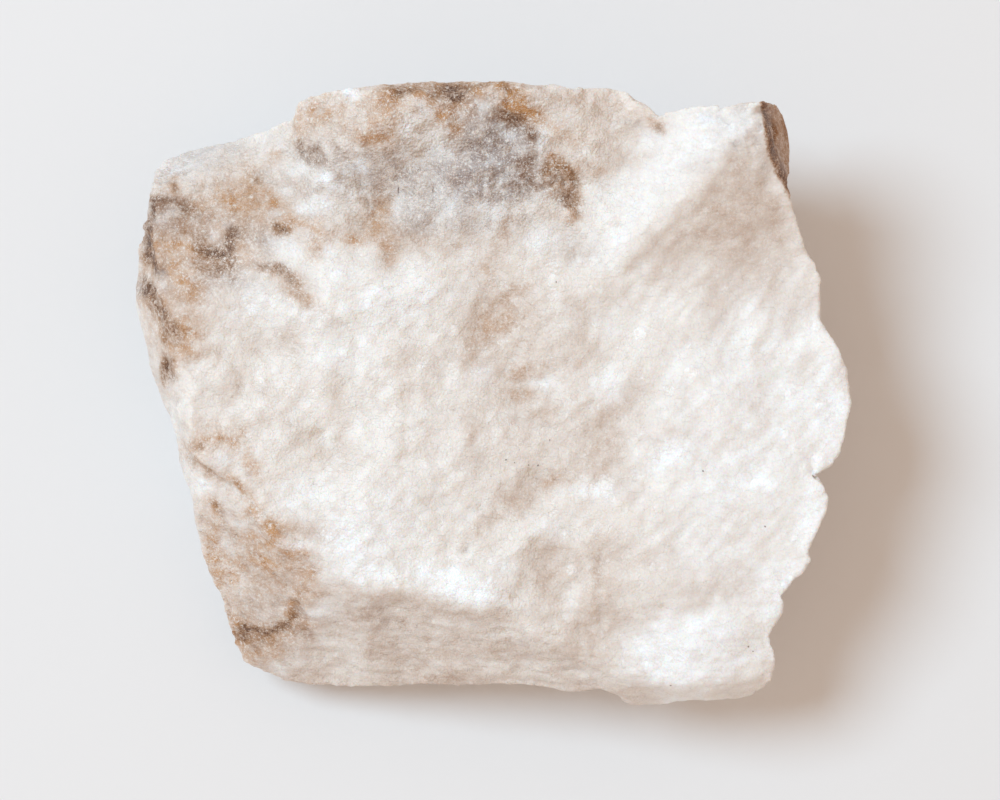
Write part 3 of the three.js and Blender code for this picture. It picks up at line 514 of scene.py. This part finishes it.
sunk = np.clip(sunk, 0, CORNER_DEEPEST) * fade(points[:, 2], 11, 15)
swollen = hump(LOBE_AT, LOBE_SIZE)
points += relief[:, None] * normals
points[:, 2] += LOBE_RISE * swollen * fade(points[:, 2], 6, 9)
points[:, 2] -= sunk
points = relaxed(points, 1)
lowest, highest = (np.array(corner) / MM for corner in cad_box)
points = np.clip(points, lowest + CLEARANCE, highest - CLEARANCE)
points[:, 2] = np.maximum(points[:, 2], CLEARANCE)
stone_mesh.vertices.foreach_set("co", (points * MM).ravel())

# Painted shade: grey laid into the low places of the crumbled crest, the stronger the lower they lie
stains["grey"] = np.maximum(stains["grey"], np.clip(-4 * crumbs, 0, 0.55) * crumbled)
away, side, end = beside(CORNER)
# The corner face is brown all over, darkest along its rim and along one rib
face = np.where(side > 0, fade(away, 0.0, 0.2), 0)
face = face * fade(points[:, 1], 12.9, 13.7) * fade(points[:, 2], 4, 11)
stains["grey"] = np.maximum(stains["grey"] * (1 - face), 0.15 * face)
stains["beige"] = np.maximum(stains["beige"], face)
stains["ochre"] = np.maximum(stains["ochre"], 0.95 * face)
rib = 0.5 * np.exp(-(((away - 0.3) / 0.45) ** 2)) + 0.2 * np.exp(-(((away - 2.0) / 0.5) ** 2))
stains["umber"] = np.maximum(stains["umber"] * (1 - face), (0.38 + rib) * face)
# Single black grains of ore: pixels right and down
SPECKS = [
    (507, 459), (515, 461), (528, 465), (538, 466), (548, 441), (557, 283), (398, 188), (704, 472),
    (765, 525), (749, 648), (753, 650), (670, 685), (398, 190), (232, 581),
]
stains["speck"] = np.zeros(len(points))
right, down = seen(points)
for speck_right, speck_down in SPECKS:
    away = np.hypot(right - speck_right, down - speck_down) + np.where(points[:, 2] < 8, 100, 0)
    stains["speck"][away.argmin()] = 1
stains["coarse"] = (0.35 + 0.65 * evener) * (1 + 0.5 * coarse * on_top + 0.7 * northern)
for kind, strength in stains.items():
    layer = stone_mesh.attributes.new(kind, "FLOAT", "POINT")
    layer.data.foreach_set("value", strength)
stone_mesh.shade_smooth()
stone_mesh.update()

# Its surface
WHITE = (0.882, 0.85, 0.816, 1)
CREAM = (0.766, 0.705, 0.66, 1)
BEIGE = (0.56, 0.42, 0.33, 1)
GREY = (0.36, 0.285, 0.26, 1)
OCHRE = (0.52, 0.28, 0.13, 1)
UMBER = (0.115, 0.055, 0.034, 1)
BRUISE_AND_PAINTED_LIGHT = (0.94, 0.965, 0.99, 1)

anhydrite = bpy.data.materials.new("anhydrite")
anhydrite.use_nodes = True
nodes, links = anhydrite.node_tree.nodes, anhydrite.node_tree.links
surface = nodes["Principled BSDF"]


def joined(kind, inputs, **settings):
    """A new node with those settings, its inputs set to values or joined to other nodes' outputs."""
    made = nodes.new(kind)
    for setting, value in settings.items():
        setattr(made, setting, value)
    for name, value in inputs.items():
        if isinstance(value, bpy.types.NodeSocket):
            links.new(value, made.inputs[name])
        else:
            made.inputs[name].default_value = value
    return made


place = joined("ShaderNodeTexCoord", {}).outputs["Object"]
millimetres = joined("ShaderNodeVectorMath", {0: place, "Scale": 1000.0}, operation="SCALE").outputs[0]


def mottle(size, detail, roughness=0.55):
    """Noise with lumps of that size in millimetres, 0 to 1."""
    inputs = {"Vector": millimetres, "Scale": 1 / size, "Detail": detail, "Roughness": roughness}
    return joined("ShaderNodeTexNoise", inputs).outputs[0]


def worked(operation, a, b):
    """The result of that sum on two values or outputs."""
    return joined("ShaderNodeMath", {0: a, 1: b}, operation=operation).outputs[0]


def spread(value, low, high):
    """0 below low, 1 above high and smooth between."""
    inputs = {"Value": value, "From Min": low, "From Max": high}
    return joined("ShaderNodeMapRange", inputs, interpolation_type="SMOOTHSTEP").outputs[0]


def tinted(under, over, share):
    """The colour under, covered by that share of the colour over."""
    mix = nodes.new("ShaderNodeMix")
    mix.data_type = "RGBA"
    links.new(share, mix.inputs[0])
    for socket, value in ((mix.inputs[6], under), (mix.inputs[7], over)):
        if isinstance(value, bpy.types.NodeSocket):
            links.new(value, socket)
        else:
            socket.default_value = value
    return mix.outputs[2]


broad = mottle(2.4, 3)
blotch = mottle(0.8, 3)
patch = spread(mottle(0.9, 3), 0.38, 0.62)
sugar = spread(mottle(0.2, 3, 0.7), 0.38, 0.62)
swirl = joined("ShaderNodeTexNoise", {"Vector": millimetres, "Scale": 4.0, "Detail": 0.0}).outputs["Color"]
swirled = joined("ShaderNodeVectorMath", {0: swirl, "Scale": 0.25}, operation="SCALE").outputs[0]
swirled = joined("ShaderNodeVectorMath", {0: millimetres, 1: swirled}, operation="ADD").outputs[0]

# Flakes: each crystal has a tone of its own and stands in its own tilted facet, with sugar-fine grain on it
FLAKE = 0.7  # mm across
cells = joined("ShaderNodeTexVoronoi", {"Vector": swirled, "Scale": 1 / FLAKE}).outputs
chance = joined("ShaderNodeTexWhiteNoise", {"Vector": cells["Position"]}).outputs
tilt = joined("ShaderNodeVectorMath", {0: chance["Color"], 1: (0.5, 0.5, 0.5)}, operation="SUBTRACT")
off_middle = joined("ShaderNodeVectorMath", {0: swirled, 1: cells["Position"]}, operation="SUBTRACT")
facet = {0: tilt.outputs[0], 1: off_middle.outputs[0]}
flake = chance["Value"]
flake_rise = joined("ShaderNodeVectorMath", facet, operation="DOT_PRODUCT").outputs["Value"]
grain = mottle(0.16, 1)
# Crystals that no stain has reached, in small groups, and single white specks of painted glint
bare_and_glint = worked("MAXIMUM", spread(mottle(0.28, 3, 0.7), 0.57, 0.62), spread(mottle(0.11, 2, 0.6), 0.59, 0.65))
shade = worked("ADD", worked("MULTIPLY", broad, 0.7), worked("MULTIPLY", blotch, 0.3))
shade = worked("ADD", shade, worked("MULTIPLY", worked("SUBTRACT", grain, 0.5), 0.22))
shade = worked("ADD", shade, worked("MULTIPLY", worked("SUBTRACT", flake, 0.5), 0.08))
colour = tinted(WHITE, CREAM, spread(shade, 0.30, 0.74))


def strength_of(kind):
    """How strong that stain is, as the mesh carries it."""
    return joined("ShaderNodeAttribute", {}, attribute_name=kind).outputs["Fac"]


def reached(bare_and_glint_share):
    """1, but less on the crystals that stay bare and on the specks of painted glint."""
    return worked("SUBTRACT", 1.0, worked("MULTIPLY", bare_and_glint, bare_and_glint_share))


def soaked(kind, patchiness, graininess, bare_and_glint_share):
    """Share of a stain that has soaked in: denser in some patches and grains than in others."""
    patchy = worked("MULTIPLY", patch, 2 * patchiness)
    grainy = worked("MULTIPLY", sugar, 2 * graininess)
    uneven = worked("ADD", worked("ADD", patchy, grainy), 1 - patchiness - graininess)
    return worked("MULTIPLY", worked("MULTIPLY", strength_of(kind), uneven), reached(bare_and_glint_share))


colour = tinted(colour, BEIGE, worked("MULTIPLY", soaked("beige", 0.22, 0.12, 0.4), 0.9))
colour = tinted(colour, GREY, worked("MULTIPLY", soaked("grey", 0.3, 0.2, 0.75), 0.9))
colour = tinted(colour, OCHRE, soaked("ochre", 0.35, 0.2, 0.8))
# Umber lies darkest between the grains, in a rusty halo
colour = tinted(colour, OCHRE, worked("MULTIPLY", soaked("umber", 0.3, 0.2, 0.75), 0.7))
uneven = worked("ADD", worked("ADD", worked("MULTIPLY", sugar, 0.6), worked("MULTIPLY", patch, 0.55)), 0.35)
dark = worked("MINIMUM", worked("MULTIPLY", strength_of("umber"), uneven), 1.0)
dark = worked("POWER", dark, 1.15)
colour = tinted(colour, UMBER, worked("MULTIPLY", worked("MULTIPLY", dark, reached(0.65)), 0.94))
# Chalky white of bruises, with painted light over the south-east lobe
colour = tinted(colour, BRUISE_AND_PAINTED_LIGHT, worked("MULTIPLY", soaked("bruise_and_painted_light", 0.35, 0.35, 0.0), 1.1))
colour = tinted(colour, UMBER, worked("MULTIPLY", spread(strength_of("speck"), 0.66, 0.86), 0.75))
links.new(colour, surface.inputs["Base Color"])

rise = worked("ADD", worked("MULTIPLY", grain, 0.055), worked("MULTIPLY", flake_rise, 0.35))
height = worked("MULTIPLY", strength_of("coarse"), 1.0 * MM)
fine = joined("ShaderNodeBump", {"Height": rise, "Strength": 1.0, "Distance": height})
links.new(fine.outputs[0], surface.inputs["Normal"])
glint = spread(flake, 0.86, 0.97)
links.new(worked("SUBTRACT", 0.5, worked("MULTIPLY", glint, 0.2)), surface.inputs["Roughness"])
surface.inputs["IOR"].default_value = 1.57
surface.inputs["Specular IOR Level"].default_value = 0.25
surface.inputs["Subsurface Weight"].default_value = 0.35
surface.inputs["Subsurface Radius"].default_value = (1.0, 0.7, 0.5)
surface.inputs["Subsurface Scale"].default_value = 0.7 * MM
stone_mesh.materials.append(anhydrite)

stone = bpy.data.objects.new("anhydrite_lump", stone_mesh)
bpy.context.scene.collection.objects.link(stone)
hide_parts("anhydrite_stone")
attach(stone, "root")

# ---------------------------------------------------------------------------
# The floor
#
# A plain pale studio floor, many times wider than the stone, for it to lie on.
# It isn't part of the object.

FLOOR_SIDE = 4.0  # m
FLOOR_COLOUR = (0.80, 0.795, 0.80, 1)

floor_mesh = bpy.data.meshes.new("floor")
half = FLOOR_SIDE / 2
floor_corners = [(-half, -half, 0), (half, -half, 0), (half, half, 0), (-half, half, 0)]
floor_mesh.from_pydata(floor_corners, [], [(0, 1, 2, 3)])
floor = bpy.data.objects.new("floor", floor_mesh)
bpy.context.scene.collection.objects.link(floor)
matt = bpy.data.materials.new("matt_floor")
matt.use_nodes = True
floor_surface = matt.node_tree.nodes["Principled BSDF"]
floor_surface.inputs["Base Color"].default_value = FLOOR_COLOUR
floor_surface.inputs["Roughness"].default_value = 0.9
floor_surface.inputs["Specular IOR Level"].default_value = 0.1
floor_mesh.materials.append(matt)

# ---------------------------------------------------------------------------
# The light
#
# One soft round lamp high on the upper left, and a warmer even light from all round.

LAMP_BEARING = 152  # degrees anticlockwise from east
LAMP_HEIGHT = 55  # degrees above the horizon
LAMP_AWAY = 1.0  # m
LAMP_SOFTNESS = 25  # how wide the lamp looks from the stone, in degrees
LAMP_POWER = 6.2  # W
LAMP_COLOUR = (0.755, 1.02, 1.21)
ALL_ROUND_COLOUR = (1.22, 0.975, 0.80, 1)
ALL_ROUND_STRENGTH = 0.54

lamp_data = bpy.data.lights.new("lamp", "AREA")
lamp_data.shape = "DISK"
lamp_data.size = 2 * LAMP_AWAY * math.tan(math.radians(LAMP_SOFTNESS / 2))
lamp_data.energy = LAMP_POWER
lamp_data.color = LAMP_COLOUR
lamp = bpy.data.objects.new("lamp", lamp_data)
bearing, height = math.radians(LAMP_BEARING), math.radians(LAMP_HEIGHT)
level = math.cos(height)
towards_lamp = Vector((math.cos(bearing) * level, math.sin(bearing) * level, math.sin(height)))
lamp.location = LAMP_AWAY * towards_lamp
lamp.rotation_euler = towards_lamp.to_track_quat("Z", "Y").to_euler()
bpy.context.scene.collection.objects.link(lamp)

room = bpy.data.worlds.new("room")
room.use_nodes = True
room.node_tree.nodes["Background"].inputs["Color"].default_value = ALL_ROUND_COLOUR
room.node_tree.nodes["Background"].inputs["Strength"].default_value = ALL_ROUND_STRENGTH
bpy.context.scene.world = room
bpy.context.scene.view_settings.view_transform = "Standard"

# ---------------------------------------------------------------------------
# The camera
#
# It looks straight down on the stone through a long lens. Its sizes stand with the stone, above.

camera_data = bpy.data.cameras.new("camera")
camera_data.lens = LENS
camera_data.sensor_width = SENSOR
camera = bpy.data.objects.new("camera", camera_data)
camera.location = Vector((*AIM, HALF_HEIGHT + CAMERA_ABOVE)) * MM
bpy.context.scene.collection.objects.link(camera)
bpy.context.scene.camera = camera

bpy.context.view_layer.update()
